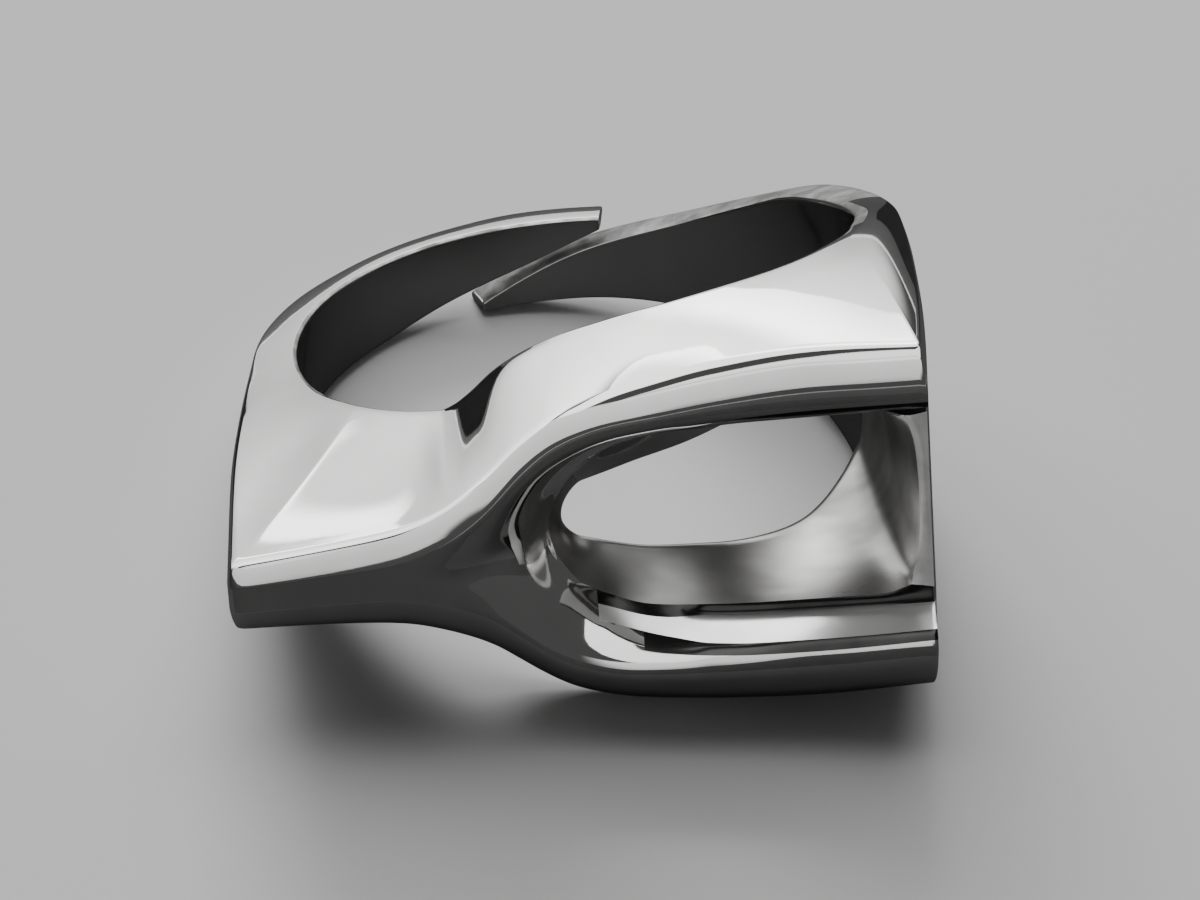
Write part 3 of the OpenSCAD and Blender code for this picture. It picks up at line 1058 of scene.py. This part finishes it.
@dataclass(frozen=True)
class Panel:
    """A glowing studio panel that faces the ring and fades at its sides and at its top."""

    name: str
    azimuth: float
    elevation: float
    distance: float
    size: tuple[float, float]
    glow: tuple[float, float]
    fade: tuple[float, float] = (0.12, 0.04)

    def add(self, centre: Vector) -> bpy.types.Object:
        """Hangs the panel.

        Args:
            centre: What it faces.

        Returns:
            The panel.
        """
        way = direction(self.azimuth, self.elevation)
        bpy.ops.mesh.primitive_plane_add(size=1.0, location=centre + way * self.distance)
        panel = bpy.context.object
        panel.name = self.name
        panel.scale = (*self.size, 1.0)
        bpy.ops.object.transform_apply(location=False, rotation=False, scale=True)
        panel.rotation_euler = way.to_track_quat("Z", "Y").to_euler()
        panel.data.materials.append(self._material())
        panel.visible_diffuse = False
        panel.visible_camera = False
        panel.visible_shadow = False
        return panel

    def _material(self) -> bpy.types.Material:
        """Makes the panel's light.

        Returns:
            A glow that grows from the panel's foot to its top and fades at its sides.
        """
        mat = bpy.data.materials.new(self.name)
        mat.use_nodes = True
        tree = mat.node_tree
        tree.nodes.clear()
        out = tree.nodes.new("ShaderNodeOutputMaterial")
        light = tree.nodes.new("ShaderNodeEmission")
        clear = tree.nodes.new("ShaderNodeBsdfTransparent")
        both = tree.nodes.new("ShaderNodeAddShader")
        tree.links.new(light.outputs["Emission"], both.inputs[0])
        tree.links.new(clear.outputs["BSDF"], both.inputs[1])
        tree.links.new(both.outputs["Shader"], out.inputs["Surface"])
        where = tree.nodes.new("ShaderNodeTexCoord")
        axes = tree.nodes.new("ShaderNodeSeparateXYZ")
        tree.links.new(where.outputs["Object"], axes.inputs["Vector"])
        across, high = self.size[0] / 2, self.size[1] / 2
        fade_x, fade_y = self.fade
        glow = self._ramp(tree, axes.outputs["Y"], (-high, high), self.glow)
        for axis, low, up in (("X", -across, -across + fade_x), ("X", across, across - fade_x),
                              ("Y", high, high - fade_y)):
            edge = self._ramp(tree, axes.outputs[axis], (low, up), (0.0, 1.0))
            both = tree.nodes.new("ShaderNodeMath")
            both.operation = "MULTIPLY"
            tree.links.new(glow, both.inputs[0])
            tree.links.new(edge, both.inputs[1])
            glow = both.outputs["Value"]
        tree.links.new(glow, light.inputs["Strength"])
        return mat

    def _ramp(self, tree: bpy.types.NodeTree, value: bpy.types.NodeSocket,
              span: tuple[float, float], to: tuple[float, float]) -> bpy.types.NodeSocket:
        """Adds a smooth ramp of a value.

        Args:
            tree: The material's node tree.
            value: The value.
            span: Where the ramp starts and stops.
            to: What it gives there.

        Returns:
            The ramp's result.
        """
        ramp = tree.nodes.new("ShaderNodeMapRange")
        ramp.interpolation_type = "SMOOTHSTEP"
        low, high = span
        first, last = to
        if low > high:
            low, high, first, last = high, low, last, first
        ramp.inputs["From Min"].default_value = low
        ramp.inputs["From Max"].default_value = high
        ramp.inputs["To Min"].default_value = first
        ramp.inputs["To Max"].default_value = last
        tree.links.new(value, ramp.inputs["Value"])
        return ramp.outputs["Result"]


@dataclass(frozen=True)
class Softbox:
    """A soft light for the floor, which the polish doesn't show."""

    name: str
    azimuth: float
    elevation: float
    distance: float
    size: tuple[float, float]
    glow: float

    def add(self, centre: Vector) -> bpy.types.Object:
        """Hangs the light.

        Args:
            centre: What it faces.

        Returns:
            The light.
        """
        way = direction(self.azimuth, self.elevation)
        bpy.ops.object.light_add(type="AREA", location=centre + way * self.distance)
        light = bpy.context.object
        light.name = self.name
        light.rotation_euler = way.to_track_quat("Z", "Y").to_euler()
        light.data.shape = "RECTANGLE"
        light.data.size, light.data.size_y = self.size
        light.data.energy = self.glow * math.pi * self.size[0] * self.size[1]
        light.visible_glossy = False
        return light


@dataclass(frozen=True)
class Studio:
    """The pale floor, the soft lights and the camera at the photograph's angle."""

    shape: RingBand
    floor_tone: float = 0.8
    world_tone: float = 0.07
    frame_width: float = 38.46
    tilt: float = 0.45
    image_turn: float = 3.8
    aim: tuple[float, float] = (0.62, -2.275)
    lens: float = 200.0
    sensor: float = 36.0
    card: tuple[float, float] = (7.0, 27.0)
    card_gap: tuple[float, float] = (-40.0, 25.0)
    card_tone: float = 0.04
    dark_floor: float = 300.0
    panels: tuple[Panel, ...] = (
        Panel("back", -32.0, 32.0, 0.6, (2.0, 0.86), (0.75, 2.8), (0.5, 0.1)),
        Panel("low_strip", -16.0, 22.5, 0.55, (0.34, 0.07), (2.6, 2.6), (0.15, 0.035)),
        Panel("high_window", -4.0, 41.0, 0.55, (0.24, 0.26), (2.6, 2.6), (0.12, 0.12)),
        Panel("back_top", -50.0, 75.0, 0.6, (0.9, 0.24), (2.2, 2.2), (0.1, 0.03)),
        Panel("right_high", 120.0, 73.0, 0.6, (0.9, 0.28), (1.6, 1.6), (0.2, 0.02)),
        Panel("front", -150.0, 36.0, 0.7, (1.5, 0.62), (0.75, 1.0), (0.25, 0.04)),
    )
    lights: tuple[Softbox, ...] = (
        Softbox("sky", -30.0, 62.0, 0.8, (1.2, 0.9), 1.5),
        Softbox("key", -15.0, 30.0, 0.9, (0.5, 0.3), 11.0),
    )

    def floor(self) -> bpy.types.Object:
        """Lays the floor.

        Returns:
            The floor, a plain pale sheet.
        """
        bpy.ops.mesh.primitive_plane_add(size=3.0)
        floor = bpy.context.object
        floor.name = "floor"
        mat = bpy.data.materials.new("floor")
        mat.use_nodes = True
        shader = mat.node_tree.nodes["Principled BSDF"]
        shader.inputs["Base Color"].default_value = grey(self.floor_tone)
        shader.inputs["Roughness"].default_value = 0.9
        floor.data.materials.append(mat)
        return floor

    def cards(self) -> bpy.types.Object:
        """Sets dark cards round the ring and under it, which only its polish shows.

        Returns:
            The cards, open towards the light behind.
        """
        height, radius = self.card
        bpy.ops.mesh.primitive_circle_add(vertices=96, radius=self.dark_floor * MM,
                                          fill_type="NGON", location=(0.0, 0.0, 0.01 * MM))
        under = bpy.context.object
        bpy.ops.mesh.primitive_cylinder_add(
            vertices=96, radius=radius * MM, depth=height * MM, end_fill_type="NOTHING",
            location=(0.0, 0.0, height / 2 * MM))
        cards = bpy.context.object
        cards.name = "dark_cards"
        bpy.ops.object.mode_set(mode="EDIT")
        bpy.ops.mesh.select_mode(type="FACE")
        bpy.ops.mesh.select_all(action="DESELECT")
        bm = bmesh.from_edit_mesh(cards.data)
        for face in bm.faces:
            middle = face.calc_center_median()
            low, high = self.card_gap
            face.select = low < math.degrees(math.atan2(middle.x, middle.y)) < high
        bpy.ops.mesh.delete(type="FACE")
        bpy.ops.object.mode_set(mode="OBJECT")
        under.select_set(True)
        bpy.ops.object.join()
        mat = bpy.data.materials.new("dark_card")
        mat.use_nodes = True
        shader = mat.node_tree.nodes["Principled BSDF"]
        shader.inputs["Base Color"].default_value = grey(self.card_tone)
        shader.inputs["Roughness"].default_value = 1.0
        cards.data.materials.append(mat)
        for ray in ("camera", "diffuse", "transmission", "volume_scatter", "shadow"):
            setattr(cards, "visible_" + ray, False)
        return cards

    def light(self) -> None:
        """Sets the lights and the dim surroundings."""
        for lamp in (*self.panels, *self.lights):
            lamp.add(Vector(self.shape.rest) * MM)
        world = bpy.data.worlds.new("surroundings")
        world.use_nodes = True
        tone = world.node_tree.nodes["Background"].inputs["Color"]
        tone.default_value = grey(self.world_tone)
        bpy.context.scene.world = world

    def camera(self) -> bpy.types.Object:
        """Sets the camera at the photograph's angle to the ring.

        Returns:
            The camera.
        """
        r = math.radians(self.image_turn)
        c = math.sqrt(1 - self.tilt ** 2)
        turned = (Matrix.Rotation(-math.radians(self.shape.lean), 3, "X")
                  @ Matrix.Rotation(-math.radians(self.shape.roll), 3, "Y"))
        right = turned @ Vector((math.cos(r), -self.tilt * math.sin(r), -c * math.sin(r)))
        up = turned @ Vector((math.sin(r), self.tilt * math.cos(r), c * math.cos(r)))
        back = turned @ Vector((0.0, -c, self.tilt))
        aim = Vector(self.shape.rest) + right * self.aim[0] + up * self.aim[1]
        distance = self.frame_width * self.lens / self.sensor
        bpy.ops.object.camera_add(location=(aim + back * distance) * MM)
        camera = bpy.context.object
        camera.name = "camera"
        camera.rotation_euler = Matrix((right, up, back)).transposed().to_euler()
        camera.data.lens = self.lens
        camera.data.sensor_width = self.sensor
        camera.data.clip_start = 0.01
        bpy.context.scene.camera = camera
        return camera


def main() -> None:
    """Builds the looks in order."""
    logging.basicConfig(level=logging.INFO, format="%(message)s")
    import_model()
    casting = Casting()
    band = casting.build()
    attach(band, "root")
    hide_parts("ring_band")
    LOG.info("%s: %d faces", band.name, len(band.data.polygons))
    studio = Studio(casting.shape)
    studio.floor()
    studio.cards()
    studio.light()
    studio.camera()


if __name__ == "__main__":
    main()
